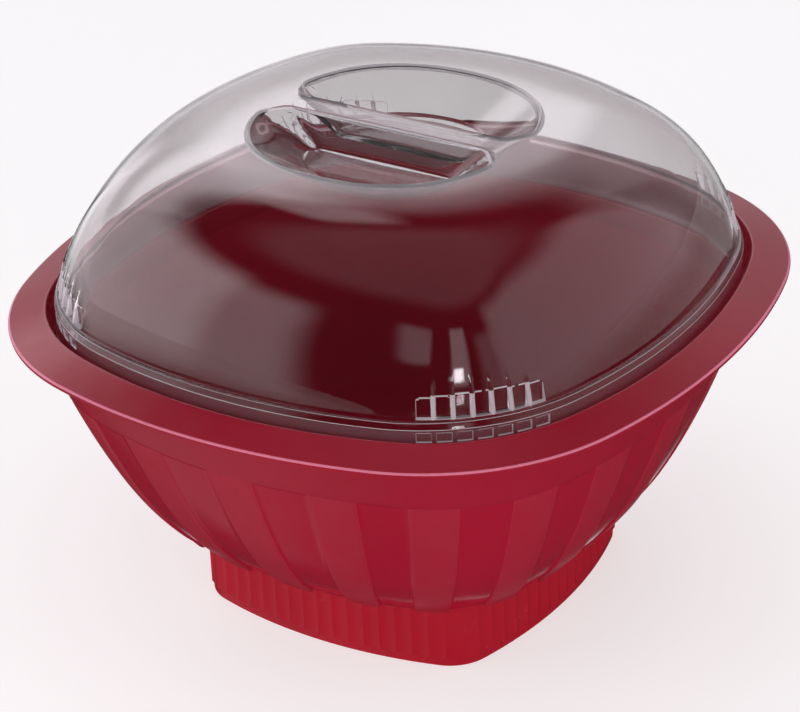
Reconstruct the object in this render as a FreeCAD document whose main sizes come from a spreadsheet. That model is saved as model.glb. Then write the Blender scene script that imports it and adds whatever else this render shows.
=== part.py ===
"""Microwave popcorn maker: a moulded bowl on a square foot skirt, and the clear domed lid that stands in it.

Frame: millimetres, +Z up, origin at the centre of the foot on the surface it stands on.  The grip web of the
lid runs along X.  Every horizontal outline is a rounded square: four bulging sides and four round corners.
"""
import FreeCAD, Part
import math
import os
import Sketcher

# alias, value, meaning
DIMENSIONS = [
    ("rim_half", 135.0, "half-width over the flange's outer edge"),
    ("rim_side", 242.0, "radius of the flange's bulging sides"),
    ("rim_corner", 87.0, "radius of the flange's corners"),
    ("rim_low", 119.2, "height of the flange's lower edge"),
    ("rim_draft", 0.3, "how much narrower the flange is at that edge"),
    ("rim_high", 121.0, "height of the top of the flange's outer edge"),
    ("flange_wall", 2.2, "thickness of the flange"),
    ("flange_under", 119.4, "height of its underside where the upright edge begins"),
    ("seat_half", 121.4, "half-width of the bowl's mouth"),
    ("seat_side", 206.0, "side radius of the bowl's mouth"),
    ("seat_corner", 70.0, "corner radius of the bowl's mouth"),
    ("seat_height", 125.2, "height of the bowl's mouth"),
    ("shelf_height", 110.0, "height of the shelf that the lid stands on"),
    ("shelf_inset", 2.2, "how much narrower the mouth is just above the shelf"),
    ("shelf_width", 3.6, "width of the shelf"),
    ("wall", 2.4, "wall thickness of the bowl"),
    ("wall_low", 29.4, "height of the bowl's underside"),
    ("wall_high", 122.8, "height of the wall's top, inside the flange"),
    ("wall_low_half", 62.6, "half-width of the bowl's underside"),
    ("wall_high_half", 126.5, "half-width of the wall at its top"),
    ("wall_low_side", 148.0, "side radius of the bowl's underside"),
    ("wall_high_side", 220.0, "side radius of the wall at its top"),
    ("wall_low_corner", 33.0, "corner radius of the bowl's underside"),
    ("wall_high_corner", 67.0, "corner radius of the wall at its top"),
    ("wall_belly", 2.44, "exponent of the wall's rounding near its foot"),
    ("wall_flare", 0.84, "exponent of the wall's flare near its top"),
    ("panel_turn_1", 19.8, "angle of the second raised panel from the first, in the middle of a side"),
    ("panel_turn_2", 36.7, "angle of the third panel, beside the corner; the pattern is mirrored there"),
    ("panel_share", 0.48, "how much of the way round the panels take"),
    ("panel_high", 96.0, "height of the panels' upper ends"),
    ("panel_low", 30.0, "height of the panels' lower ends"),
    ("panel_foot", 0.26, "fraction of the wall's flare at the panels' lower ends"),
    ("panel_proud", 0.8, "how far a panel stands out of the wall"),
    ("panel_start", 57.0, "radius inside which nothing of a panel is kept"),
    ("skirt_half", 67.0, "half-width of the foot skirt where it stands"),
    ("skirt_side", 178.0, "side radius of the foot skirt"),
    ("skirt_corner", 17.5, "corner radius of the foot skirt"),
    ("skirt_wall", 1.8, "wall thickness of the foot skirt"),
    ("skirt_high", 31.4, "height of the skirt's top, inside the bowl's floor"),
    ("foot_high", 3.5, "height of the plain foot below the flutes"),
    ("foot_step", 0.9, "step from the foot out to the fluted wall"),
    ("flutes_per_side", 16, "flutes along each side of the skirt"),
    ("flutes_per_corner", 2, "flutes around each corner of the skirt"),
    ("flute_pitch", 6.2, "spacing of the flutes"),
    ("flute_radius", 4.5, "radius of each flute's round hollow"),
    ("flute_depth", 0.6, "depth of each flute"),
    ("flute_high", 27.6, "height of the flutes' upper ends, just under the panels"),
    ("ledge_half", 117.5, "half-width of the lid's ledge, upper edge"),
    ("ledge_low_half", 118.5, "half-width of the lid's ledge, lower edge"),
    ("ledge_side", 214.0, "side radius of the lid's ledge"),
    ("ledge_corner", 73.6, "corner radius of the lid's ledge"),
    ("ledge_high", 130.3, "height of the ledge's upper edge"),
    ("ledge_low", 128.0, "height of the ledge's lower edge"),
    ("lip_half", 117.9, "half-width of the lip's lower edge"),
    ("lip_clear", 0.3, "gap between the lip and the shelf"),
    ("dome_half", 115.6, "half-width of the dome where it meets the ledge"),
    ("dome_base", 130.0, "height from which the dome's curve is drawn"),
    ("dome_rise", 55.7, "rise of the dome above that height"),
    ("dome_shoulder", 5.89, "exponent of the dome's shoulder"),
    ("dome_crown", 1.348, "exponent of the dome's crown"),
    ("lid_wall", 2.0, "wall thickness of the lid"),
    ("pocket_radius", 51.5, "radius of the circle that the two finger pockets fill"),
    ("pocket_floor_radius", 34.0, "the same at the pockets' floor"),
    ("pocket_depth", 13.0, "depth of the finger pockets below the crown"),
    ("pocket_end", 50.0, "where a pocket's end wall meets its round wall, along X"),
    ("pocket_floor_end", 31.0, "the same at the pockets' floor"),
    ("web_half", 5.7, "half-thickness of the grip web at its top"),
    ("web_floor_half", 8.0, "half-thickness of the grip web at the pockets' floor"),
    ("web_reach", 44.0, "half-length of the grip web's straight top edge"),
    ("web_floor_reach", 27.5, "half-length of its straight foot"),
    ("vent_count", 7, "vents at each corner"),
    ("vent_step", 5.5, "angle between vents about the corner's centre"),
    ("vent_centre", 38.5, "distance of that centre from each symmetry plane"),
    ("vent_depth", 69.4, "radius of the vents' upright back faces about that centre"),
    ("vent_width", 5.4, "width of a vent"),
    ("vent_low", 131.0, "height of the vents' sills"),
    ("vent_high", 147.0, "height that the vents' back faces are cut up to, outside the dome"),
    ("vent_cut", 20.0, "depth of the boxes that cut vents and notches"),
    ("notch_width", 4.8, "width of a notch in the lip below each vent"),
    ("notch_low", 123.4, "height of the notches' lower ends"),
    ("notch_high", 127.6, "height of the notches' upper ends"),
    ("notch_depth", 0.8, "depth of a notch"),
    ("lip_corner", 74.4, "corner radius of the lip at the notches"),
]

doc = FreeCAD.newDocument("popcorn_maker")
sheet = doc.addObject("Spreadsheet::Sheet", "Dims")
for row, (alias, value, meaning) in enumerate(DIMENSIONS, start=1):
    sheet.set(f"A{row}", meaning)
    sheet.set(f"B{row}", str(value))
    sheet.setAlias(f"B{row}", alias)
doc.recompute()


def dim(alias):
    """A driving dimension as a number."""
    return float(sheet.get(alias))


def value(expression):
    """The number that an expression over the sheet's cells comes to."""
    result = sheet.evalExpression(expression)
    return float(getattr(result, "Value", result))


def corner_reach(half, side, corner):
    """Offset k of a corner arc's centre (k, k), for arcs that meet smoothly."""
    inset = side - half
    gap = side - corner
    return (math.sqrt(2 * gap ** 2 - inset ** 2) - inset) / 2


def outline(body, label, height, half, side, corner):
    """A rounded-square sketch at a height; the four sizes are expressions over the sheet."""
    sketch = body.newObject("Sketcher::SketchObject", label)
    plane = next(f for f in body.Origin.OriginFeatures if f.Role == "XY_Plane")
    sketch.AttachmentSupport = [(plane, "")]
    sketch.MapMode = "FlatFace"
    sketch.setExpression("AttachmentOffset.Base.z", height)
    half_now, side_now, corner_now = value(half), value(side), value(corner)
    inset = side_now - half_now
    centre = corner_reach(half_now, side_now, corner_now)
    turn = math.atan2(centre, centre + inset)
    up = FreeCAD.Vector(0, 0, 1)
    for quarter in range(4):
        spin = FreeCAD.Rotation(up, 90 * quarter)
        start = math.radians(90 * quarter)
        side_circle = Part.Circle(spin.multVec(FreeCAD.Vector(-inset, 0, 0)), up, side_now)
        corner_circle = Part.Circle(spin.multVec(FreeCAD.Vector(centre, centre, 0)), up, corner_now)
        side_arc = Part.ArcOfCircle(side_circle, start - turn, start + turn)
        corner_arc = Part.ArcOfCircle(corner_circle, start + turn, start + math.pi / 2 - turn)
        sketch.addGeometry([side_arc, corner_arc], False)
    for arc in range(8):
        sketch.addConstraint(Sketcher.Constraint("Tangent", arc, 2, (arc + 1) % 8, 1))
    for quarter in range(1, 4):
        sketch.addConstraint(Sketcher.Constraint("Equal", 0, 2 * quarter))
        sketch.addConstraint(Sketcher.Constraint("Equal", 1, 2 * quarter + 1))
    radius = sketch.addConstraint(Sketcher.Constraint("Radius", 0, side_now))
    sketch.setExpression(f"Constraints[{radius}]", side)
    radius = sketch.addConstraint(Sketcher.Constraint("Radius", 1, corner_now))
    sketch.setExpression(f"Constraints[{radius}]", corner)
    for quarter in range(4):
        along, across = ("DistanceX", "DistanceY") if quarter % 2 == 0 else ("DistanceY", "DistanceX")
        sign = -1 if quarter < 2 else 1
        sketch.addConstraint(Sketcher.Constraint(across, -1, 1, 2 * quarter, 3, 0.0))
        away = sketch.addConstraint(Sketcher.Constraint(along, -1, 1, 2 * quarter, 3, sign * inset))
        sketch.setExpression(f"Constraints[{away}]", f"{sign} * (({side}) - ({half}))")
    return sketch


def loft(label, sections, ruled=False):
    """A solid body through rounded-square sections, each (height, half, side, corner)."""
    body = doc.addObject("PartDesign::Body", label)
    sketches = [outline(body, f"{label}_section_{i}", *section) for i, section in enumerate(sections)]
    feature = body.newObject("PartDesign::AdditiveLoft", f"{label}_loft")
    feature.Profile = sketches[0]
    feature.Sections = sketches[1:]
    feature.Ruled = ruled
    return body


def pad(label, section, length):
    """A solid body with upright sides, from one section up."""
    body = doc.addObject("PartDesign::Body", label)
    sketch = outline(body, f"{label}_section", *section)
    feature = body.newObject("PartDesign::Pad", f"{label}_pad")
    feature.Profile = sketch
    feature.setExpression("Length", length)
    return body


def boolean(kind, label, *shapes):
    """A boolean of the Part workbench: Cut takes a base and a tool, the others any number of shapes."""
    result = doc.addObject(f"Part::{kind}", label)
    if kind == "Cut":
        result.Base, result.Tool = shapes
    elif kind == "Compound":
        result.Links = list(shapes)
    else:
        result.Shapes = list(shapes)
    return result


def fused(label, *shapes):
    return boolean("MultiFuse", label, *shapes)


def group(label, shapes):
    return boolean("Compound", label, *shapes)


def wall_section(s, outward, lift):
    """The bowl's wall at fraction s of its flare, moved outward and, near its foot, up."""
    flare = f"(1 - (1 - {s} ^ Dims.wall_belly) ^ (1 / Dims.wall_flare))"
    height = f"Dims.wall_low + (Dims.wall_high - Dims.wall_low) * {flare} + ({lift}) * (1 - {s})"
    sizes = [
        f"Dims.wall_low_{size} + (Dims.wall_high_{size} - Dims.wall_low_{size}) * {s} + ({outward})"
        for size in ("half", "side", "corner")
    ]
    return (height, *sizes)


def rim_section(height, inward):
    return (height, *(f"Dims.rim_{size} - ({inward})" for size in ("half", "side", "corner")))


def seat_section(height, inward):
    return (height, *(f"Dims.seat_{size} - ({inward})" for size in ("half", "side", "corner")))


def skirt_section(height, outward):
    return (height, *(f"Dims.skirt_{size} + ({outward})" for size in ("half", "side", "corner")))


def dome_section(s, inward):
    """The dome where its half-width is the fraction s of its base; rounder towards the crown."""
    rise = f"Dims.dome_rise * (1 - {s} ^ Dims.dome_shoulder) ^ (1 / Dims.dome_crown)"
    height = f"Dims.dome_base + {rise} - ({inward}) * (1 - {s} ^ 3)"
    half = f"Dims.dome_half * {s}"
    side = f"{half} * (1.97 - 0.95 * (1 - {s}) ^ 0.354)"
    corner = f"{half} * (0.352 + 0.635 * (1 - {s}) ^ 1.12 + 0.24 * {s} ^ 20)"
    return (height, *(f"{size} - ({inward})" for size in (half, side, corner)))


def ledge_section(height, half):
    """The lid's ledge or lip at a half-width; its radii grow and shrink with it."""
    return (height, half, f"Dims.ledge_side + ({half}) - Dims.ledge_half",
            f"Dims.ledge_corner + ({half}) - Dims.ledge_half")


# ---------------------------------------------------------------- bowl

WALL_FRACTIONS = [0, 0.12, 0.24, 0.36, 0.48, 0.6, 0.7, 0.79, 0.86]
PANEL_FRACTIONS = [0.36, 0.48, 0.6, 0.7, 0.79, 0.86, 0.94]
ABOVE = "5"     # how far a cutting solid stands past the face that it leaves by
OVERLAP = "1"   # how far two solids reach into each other where they join


def make_wall():
    return loft("wall_outside", [wall_section(s, "0", "0") for s in WALL_FRACTIONS + [0.94, 1]])


def make_panels():
    """Raised panels: a slightly larger wall, kept only inside sectors, closer together at the corners."""
    proud = [wall_section(s, "Dims.panel_proud", "-Dims.panel_proud") for s in PANEL_FRACTIONS]
    foot = ("Dims.panel_low", *wall_section("Dims.panel_foot", "Dims.panel_proud", "0")[1:])
    proud_wall = loft("panel_outside", [foot] + proud)
    first, second = dim("panel_turn_1"), dim("panel_turn_2")
    places = [0, first, second, 90 - second, 90 - first]
    gaps = [after - before for before, after in zip(places, places[1:] + [90])]
    sectors = []
    for i, place in enumerate(places):
        width = (gaps[i] + gaps[i - 1]) / 2 * dim("panel_share")
        for quarter in range(4):
            sector = doc.addObject("Part::Cylinder", f"panel_sector_{quarter + 1}_{i + 1}")
            sector.setExpression("Radius", "Dims.rim_half")
            sector.setExpression("Height", "Dims.panel_high - Dims.panel_low")
            sector.Angle = width
            turn = FreeCAD.Rotation(FreeCAD.Vector(0, 0, 1), place + 90 * quarter - width / 2)
            sector.Placement = FreeCAD.Placement(FreeCAD.Vector(0, 0, dim("panel_low")), turn)
            sectors.append(sector)
    core = doc.addObject("Part::Cylinder", "panel_core")
    core.setExpression("Radius", "Dims.panel_start")
    core.setExpression("Height", "Dims.wall_high")
    ring = boolean("Cut", "panel_ring", proud_wall, core)
    return boolean("MultiCommon", "panels", ring, group("panel_sectors", sectors))


def make_flange():
    """The wide flange slopes down from the mouth to a short upright edge."""
    top = loft("flange_outside", [
        rim_section("Dims.rim_low", "Dims.rim_draft"),
        rim_section("Dims.rim_high", "0"),
        seat_section("Dims.seat_height", "0"),
    ], ruled=True)
    under = loft("flange_underside", [
        rim_section(f"Dims.rim_low - {ABOVE}", "Dims.flange_wall"),
        rim_section("Dims.flange_under", "Dims.flange_wall"),
        seat_section("Dims.seat_height - Dims.flange_wall", "0"),
    ], ruled=True)
    return boolean("Cut", "flange", top, under)


def make_flutes():
    """Round upright hollows all round the skirt: along its four sides and around its four corners."""
    half, side, corner = (dim(f"skirt_{size}") + dim("foot_step") for size in ("half", "side", "corner"))
    centre = corner_reach(half, side, corner)
    outward = dim("flute_radius") - dim("flute_depth")
    up = FreeCAD.Vector(0, 0, 1)
    runs = [(FreeCAD.Vector(half - side, 0, 0), side, 0, int(dim("flutes_per_side"))),
            (FreeCAD.Vector(centre, centre, 0), corner, 45, int(dim("flutes_per_corner")))]
    flutes = []
    for quarter in range(4):
        spin = FreeCAD.Rotation(up, 90 * quarter)
        for run, (arc_centre, radius, middle, count) in enumerate(runs):
            step = math.degrees(dim("flute_pitch") / radius)
            for i in range(count):
                turn = FreeCAD.Rotation(up, middle + (i - (count - 1) / 2) * step)
                place = arc_centre + turn.multVec(FreeCAD.Vector(radius + outward, 0, 0))
                place.z = dim("foot_high")
                flute = doc.addObject("Part::Cylinder", f"flute_{quarter + 1}_{run + 1}_{i + 1}")
                flute.setExpression("Radius", "Dims.flute_radius")
                flute.setExpression("Height", "Dims.flute_high - Dims.foot_high")
                flute.Placement = FreeCAD.Placement(spin.multVec(place), FreeCAD.Rotation())
                flutes.append(flute)
    return group("flutes", flutes)


def make_skirt():
    wall = pad("skirt_outside", skirt_section("Dims.foot_high", "Dims.foot_step"),
               "Dims.skirt_high - Dims.foot_high")
    foot = pad("skirt_foot", skirt_section("0", "0"), f"Dims.foot_high + {OVERLAP}")
    return fused("skirt", boolean("Cut", "fluted_skirt", wall, make_flutes()), foot)


def make_bowl():
    hollow = loft("hollow", [wall_section(s, "-Dims.wall", "Dims.wall") for s in WALL_FRACTIONS] + [
        seat_section(f"Dims.shelf_height + {OVERLAP}", "Dims.shelf_inset + Dims.shelf_width")])
    mouth = loft("mouth", [
        seat_section("Dims.shelf_height", "Dims.shelf_inset"),
        seat_section("Dims.seat_height", "0"),
        seat_section(f"Dims.seat_height + {ABOVE}", "0"),
    ], ruled=True)
    under = pad("skirt_inside", skirt_section(f"-{ABOVE}", "-Dims.skirt_wall"), f"Dims.wall_low + {ABOVE}")
    outside = fused("bowl_outside", make_wall(), make_panels(), make_flange(), make_skirt())
    hollows = group("bowl_hollows", [fused("bowl_inside", hollow, mouth), under])
    bowl = boolean("Cut", "bowl_solid", outside, hollows)
    bowl.Label = "bowl"
    return bowl


# ---------------------------------------------------------------- lid

DOME_FRACTIONS = [1, 0.985, 0.95, 0.9, 0.84, 0.76, 0.66, 0.56, 0.45]


def pocket_sketch(body, label, height, radius, end, web, reach, spread):
    """Plan of the pocket on the -Y side: straight along the web, short end walls, round outside.

    The sizes are expressions; spread widens the outline all round, for the pocket's shell.
    """
    sketch = body.newObject("Sketcher::SketchObject", label)
    plane = next(f for f in body.Origin.OriginFeatures if f.Role == "XY_Plane")
    sketch.AttachmentSupport = [(plane, "")]
    sketch.MapMode = "FlatFace"
    sketch.setExpression("AttachmentOffset.Base.z", height)
    radius, end, reach = (f"{size} + ({spread})" for size in (radius, end, reach))
    web = f"{web} - ({spread})"
    radius_now, end_now, web_now, reach_now = (value(size) for size in (radius, end, web, reach))
    low = -math.sqrt(radius_now ** 2 - end_now ** 2)
    origin, up = FreeCAD.Vector(0, 0, 0), FreeCAD.Vector(0, 0, 1)
    turn = math.atan2(low, end_now)
    corners = [FreeCAD.Vector(-reach_now, -web_now, 0), FreeCAD.Vector(reach_now, -web_now, 0),
               FreeCAD.Vector(end_now, low, 0), FreeCAD.Vector(-end_now, low, 0)]
    sketch.addGeometry([
        Part.LineSegment(corners[0], corners[1]),
        Part.LineSegment(corners[1], corners[2]),
        Part.ArcOfCircle(Part.Circle(origin, up, radius_now), -math.pi - turn, turn),
        Part.LineSegment(corners[3], corners[0]),
    ], False)
    for first, first_end, second, second_end in ((0, 2, 1, 1), (1, 2, 2, 2), (2, 1, 3, 1), (3, 2, 0, 1)):
        sketch.addConstraint(Sketcher.Constraint("Coincident", first, first_end, second, second_end))
    sketch.addConstraint(Sketcher.Constraint("Coincident", 2, 3, -1, 1))
    sizes = [
        ("Radius", (2,), radius_now, radius),
        ("DistanceX", (-1, 1, 0, 2), reach_now, reach),
        ("DistanceX", (-1, 1, 0, 1), -reach_now, f"-({reach})"),
        ("DistanceY", (-1, 1, 0, 2), -web_now, f"-({web})"),
        ("DistanceY", (-1, 1, 0, 1), -web_now, f"-({web})"),
        ("DistanceX", (-1, 1, 2, 2), end_now, end),
        ("DistanceX", (-1, 1, 2, 1), -end_now, f"-({end})"),
    ]
    for kind, where, now, expression in sizes:
        index = sketch.addConstraint(Sketcher.Constraint(kind, *where, now))
        sketch.setExpression(f"Constraints[{index}]", expression)
    return sketch


def make_pocket(label, spread, drop, quarter_turns):
    """One finger pocket as a solid: a hollow, or its shell when spread and dropped by the wall."""
    body = doc.addObject("PartDesign::Body", label)
    crown = "Dims.dome_base + Dims.dome_rise"
    low = pocket_sketch(body, f"{label}_floor", f"{crown} - Dims.pocket_depth - ({drop})",
                        "Dims.pocket_floor_radius", "Dims.pocket_floor_end", "Dims.web_floor_half",
                        "Dims.web_floor_reach", spread)
    high = pocket_sketch(body, f"{label}_rim", crown, "Dims.pocket_radius", "Dims.pocket_end",
                         "Dims.web_half", "Dims.web_reach", spread)
    feature = body.newObject("PartDesign::AdditiveLoft", f"{label}_loft")
    feature.Profile = low
    feature.Sections = [high]
    feature.Ruled = True
    body.Placement = FreeCAD.Placement(FreeCAD.Vector(0, 0, 0),
                                       FreeCAD.Rotation(FreeCAD.Vector(0, 0, 1), 90 * quarter_turns))
    return body


def vent_boxes(label, width, low, high, inner):
    """Upright boxes around every corner, one for each vent, that cut outward from a radius."""
    boxes = []
    count = int(dim("vent_count"))
    for corner in range(4):
        for i in range(count):
            middle = 45 + 90 * corner
            turn = middle + (i - (count - 1) / 2) * dim("vent_step")
            box = doc.addObject("Part::Box", f"{label}_{corner + 1}_{i + 1}")
            box.setExpression("Length", "Dims.vent_cut")
            box.setExpression("Width", width)
            box.setExpression("Height", f"{high} - ({low})")
            spin = FreeCAD.Rotation(FreeCAD.Vector(0, 0, 1), turn)
            centre = FreeCAD.Rotation(FreeCAD.Vector(0, 0, 1), middle).multVec(
                FreeCAD.Vector(dim("vent_centre") * math.sqrt(2), 0, value(low)))
            start = spin.multVec(FreeCAD.Vector(value(inner), -value(width) / 2, 0))
            box.Placement = FreeCAD.Placement(centre + start, spin)
            boxes.append(box)
    return boxes


def make_lid():
    dome = loft("dome_outside", [dome_section(s, "0") for s in DOME_FRACTIONS])
    inside = loft("dome_inside", [dome_section(s, "Dims.lid_wall") for s in DOME_FRACTIONS])
    lip_low = "Dims.shelf_height + Dims.lip_clear"
    lip = loft("lip_outside", [
        ledge_section(lip_low, "Dims.lip_half"),
        ledge_section("Dims.ledge_low", "Dims.ledge_low_half"),
        ledge_section("Dims.ledge_high", "Dims.ledge_half"),
    ], ruled=True)
    lip_inside = loft("lip_inside", [
        ledge_section(f"{lip_low} - {ABOVE}", "Dims.lip_half - Dims.lid_wall"),
        ledge_section(lip_low, "Dims.lip_half - Dims.lid_wall"),
        dome_section(1, "Dims.lid_wall"),
    ], ruled=True)
    shell = boolean("Cut", "lid_shell", fused("lid_outside", dome, lip),
                    fused("lid_inside", inside, lip_inside))
    cups = [make_pocket(f"pocket_shell_{i + 1}", "Dims.lid_wall", "Dims.lid_wall", 2 * i) for i in range(2)]
    hollows = [make_pocket(f"pocket_{i + 1}", "0", "0", 2 * i) for i in range(2)]
    vents = vent_boxes("vent", "Dims.vent_width", "Dims.vent_low", "Dims.vent_high", "Dims.vent_depth")
    notches = vent_boxes("notch", "Dims.notch_width", "Dims.notch_low", "Dims.notch_high",
                         "Dims.lip_corner - Dims.notch_depth")
    cup_solids = boolean("MultiCommon", "pocket_shells", fused("pocket_cups", *cups), dome)
    lid = boolean("Cut", "lid_solid", fused("lid_whole", shell, cup_solids),
                  group("lid_hollows", hollows + vents + notches))
    lid.Label = "lid"
    return lid


# ---------------------------------------------------------------- build and write

nodes = [make_bowl(), make_lid()]
doc.recompute()

for thing in doc.Objects:
    if {"Invalid", "Error"} & set(thing.State):
        raise SystemExit(f"{thing.Label} failed: {thing.State}")
for node in nodes:
    if node.Shape.isNull() or not node.Shape.isValid():
        raise SystemExit(f"{node.Label} has no valid shape")

os.makedirs("parts", exist_ok=True)
for node in nodes:
    node.Shape.exportStep(f"parts/{node.Label}.step")
    print(node.Label, "solids", len(node.Shape.Solids), "volume", round(node.Shape.Volume))
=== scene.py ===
# Microwave popcorn maker: a crimson bowl on a fluted foot skirt, and the clear vented lid that stands in it.
import math
import bmesh
import bpy
import numpy as np
from mathutils import Matrix, Vector


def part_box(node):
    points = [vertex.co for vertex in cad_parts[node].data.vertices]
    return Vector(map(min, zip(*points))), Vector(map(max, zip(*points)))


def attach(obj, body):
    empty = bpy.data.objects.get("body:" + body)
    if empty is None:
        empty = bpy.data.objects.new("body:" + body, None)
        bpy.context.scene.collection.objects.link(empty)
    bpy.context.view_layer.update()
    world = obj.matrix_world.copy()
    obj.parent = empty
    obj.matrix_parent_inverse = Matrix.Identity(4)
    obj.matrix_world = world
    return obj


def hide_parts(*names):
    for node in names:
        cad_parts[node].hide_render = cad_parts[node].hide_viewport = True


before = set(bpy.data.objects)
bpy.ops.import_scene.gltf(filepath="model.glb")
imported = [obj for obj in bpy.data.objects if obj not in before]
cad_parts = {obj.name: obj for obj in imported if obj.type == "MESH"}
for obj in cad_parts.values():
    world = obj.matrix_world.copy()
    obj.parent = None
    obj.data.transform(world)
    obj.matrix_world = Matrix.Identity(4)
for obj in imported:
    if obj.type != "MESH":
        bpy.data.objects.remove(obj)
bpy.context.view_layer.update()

MM = 0.001
bowl_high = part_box("bowl")[1] / MM
lid_low, lid_high = (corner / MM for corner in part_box("lid"))

# ------------------------------------------------------------ sizes, in millimetres, as the moulds are drawn
# An outline is (half-width, side radius, corner radius). A section is (height, *outline).

RIM = (135.0, 242.0, 87.0)              # outline of the flange's outer edge
SEAT = (121.4, 206.0, 70.0)             # outline of the bowl's mouth
RIM_LOW, RIM_HIGH = 119.2, 121.0        # the flange's outer edge
SEAT_HEIGHT = bowl_high.z               # the mouth's edge, where the flange is highest
SHELF_HEIGHT = 110.0                    # the shelf that the lid stands on
SHELF_INSET, SHELF_WIDTH = 2.2, 3.6     # its outer edge inside the mouth's, and its width
FLANGE_WALL = 2.2
WALL = 2.4                              # thickness of the bowl
WALL_FOOT = (29.4, 62.6, 148.0, 33.0)   # section of the bowl's underside
WALL_TOP = (122.8, 126.5, 220.0, 67.0)  # section of the wall's top, inside the flange
WALL_BELLY, WALL_FLARE = 2.44, 0.84     # exponents of the wall's rounding and flare
WALL_MEETS = 0.985                      # fraction of the flare where the wall meets the flange
INSIDE_FROM = 0.86                      # and where its inside starts below the shelf
TUCK_AT, TUCK_DROP = 0.26, 2.0          # the wall tucks under at this fraction, this much lower
TUCK_END = 0.5                          # from this fraction up it isn't lowered
TUCK_DEPTH = 0.9                        # from the tuck down to the underside behind it

PANEL_PLACES = (0.0, 19.8, 36.7, 53.3, 70.2, 90.0)     # degrees round a quarter, closer at its corner
PANEL_SHARE = 0.48                      # how much of the way round the panels take
PANEL_LOW, PANEL_HIGH = 30.0, 96.0      # the panels' lower and upper ends
PANEL_PROUD = 0.32                      # how far they stand out of the wall
PANEL_END_PROUD = 0.8                   # and at their lower ends
PANEL_EVEN, PANEL_THIN = 0.36, 0.7      # the fractions of the flare between which they grow thinner
PANEL_SOFT = 0.3                        # half the width of a panel's side step, in degrees
ON_PANEL, OFF_PANEL = 7, 12             # columns across half a panel and from one panel to the next
COLLAR_PROUD = 0.32                     # the plain band above the panels stands out as they do

SKIRT = (67.0, 178.0, 17.5)             # outline of the foot
SKIRT_WALL, SKIRT_TOP = 1.8, 31.0       # its top is inside the bowl's floor
FOOT_HIGH, FOOT_STEP = 3.5, 0.9         # the plain foot, and the step out to the flutes above it
FLUTES, PER_FLUTE = 72, 10              # flutes all round, and columns in each
FLUTE_DEPTH, FLUTE_HIGH = 0.6, 27.6     # their hollow, and where they end

LEDGE_HALF, LEDGE_SIDE, LEDGE_CORNER = 117.5, 214.0, 73.6      # outline of the ledge round the dome's foot
LEDGE_HIGH, LEDGE_LOW, LEDGE_LOW_HALF = 130.3, 128.0, 118.5    # it slopes out a little on its way down
LIP_LOW, LIP_HALF = lid_low.z, 117.9    # the lid's lip, which stands in the bowl's recess
DOME_HALF, DOME_BASE, DOME_RISE = 115.6, 130.0, 55.7
DOME_SHOULDER, DOME_CROWN = 5.89, 1.348 # exponents of the dome's rounding
DOME_SIDE = (1.97, 0.95, 0.354)         # side radius by half-width: at the base, its fall, the fall's power
DOME_CORNER = (0.352, 0.635, 1.12)      # corner radius by half-width: at the base, its rise, the rise's power
DOME_CORNER_FOOT = (0.24, 20)           # what it gains close to the base, and the gain's power
DOME_TOP = 0.45                         # the crown is flat inside this fraction of the dome's half-width
DOME_DRAWN_IN = 95.0                    # below this half-width the columns' centres draw in with the dome
LID_WALL = 2.0
CROWN = lid_high.z

POCKET_DEPTH = 13.0
POCKET_RIM = (51.3, 84.0, 44.0, 50.5, 42.0, 5.7)    # outline, end wall's reach at each end, half the web
POCKET_FLOOR = (33.0, 40.0, 31.0, 30.0, 26.5, 8.0)  # the same on the pocket's floor
POCKET_MIDDLE = -26.0                   # Y of the point that a pocket's rows are drawn about
END_WALL = 0.29                         # where an end wall meets the round wall along Y, by half-width
CORNER_POWER = 45.0                     # sharpness of the pocket's corners in plan
RIM_ROUND, FLOOR_ROUND, FLOOR_EDGE = 0.6, 1.2, 1.6  # how high the pocket's edges are rounded, and how far in
RIM_ROWS = range(2, 8)                  # rows of faces on the pocket's rounded rim; on the outer crown they carry a painted highlight

VENTS = 7                               # at each corner
VENT_STEP = 5.5                         # degrees about the corner's centre
VENT_CENTRE = 1 / 3                     # where that centre lies, as a share of the ledge's half-width
VENT_HALF, RIB_FROM = 2.05, 2.6         # degrees off a vent's middle: inside it, and on a rib
VENT_OFFSETS = (-2.75, -2.12, -2.0, -1.2, 0, 1.2, 2.0, 2.12)    # a vent's columns, from the rib before it
VENT_DEPTH = 69.4                       # from the corner's centre to a vent's flat face
VENT_LOW, VENT_HIGH = 131.0, 147.5
LEVEL_STEP = 0.55                       # between rows of the band that has the vents
RIB_PROUD = 0.5                         # how far the ribs between vents stand out
RIB_ROWS = 16                           # rows of the band on which the ribs carry a painted highlight
STEP_ACROSS, STEP_UP = 0.15, 0.4        # the least steps whose faces carry a painted highlight
NOTCH_LOW, NOTCH_HIGH, NOTCH_DEPTH = 123.4, 127.6, 0.8          # a notch in the lip below each vent


# ------------------------------------------------------------ outlines and grids

def reach(start, towards, half, side, corner):
    """How far rays in the first quarter go from inside a rounded square to its outline."""
    inset, gap = side - half, side - corner
    centre = (math.sqrt(2 * gap ** 2 - inset ** 2) - inset) / 2
    limit = side * math.sin(math.atan2(centre, centre + inset))

    def circle(x, y, radius):
        away = start - np.array([x, y])
        along = (away * towards).sum(axis=1)
        return np.sqrt(np.maximum(along ** 2 - (away ** 2).sum(axis=1) + radius ** 2, 0)) - along

    to_x, to_y, to_corner = circle(-inset, 0, side), circle(0, -inset, side), circle(centre, centre, corner)
    on_x = (start + to_x[:, None] * towards)[:, 1] <= limit
    on_y = (start + to_y[:, None] * towards)[:, 0] <= limit
    return np.where(on_x, to_x, np.where(on_y, to_y, to_corner))


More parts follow.
